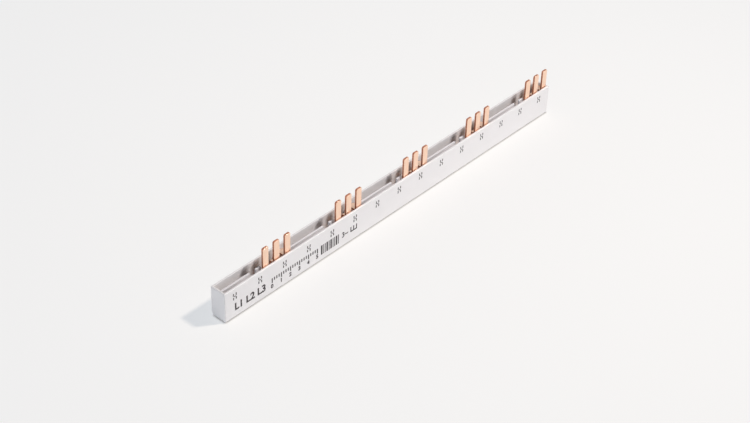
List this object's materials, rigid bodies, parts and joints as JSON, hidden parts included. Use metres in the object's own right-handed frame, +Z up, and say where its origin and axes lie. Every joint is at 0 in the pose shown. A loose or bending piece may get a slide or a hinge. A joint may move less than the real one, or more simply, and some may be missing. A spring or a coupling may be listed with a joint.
{
  "type": "comb busbar",
  "caption": "Comb busbar: flat copper pins stand in spaced groups along a long white insulating trough with closed ends and a slotted insert, to link a row of circuit breakers.",
  "frame": {"origin": "middle of the underside of the trough", "axes": "+X along the trough from the end nearest in the picture to the far end, +Y from the front face to the back, +Z up along the pins"},
  "size_m": [0.2658, 0.0102, 0.03],
  "materials": {
    "white_plastic": "moulded, fine matt",
    "copper": "bare rolled copper strip, punched and bent"
  },
  "bodies": {
    "root": {"trough": "white_plastic", "slotted_insert": "white_plastic", "phase_comb_l1": "copper", "phase_comb_l2": "copper", "phase_comb_l3": "copper"}
  },
  "joints": []
}
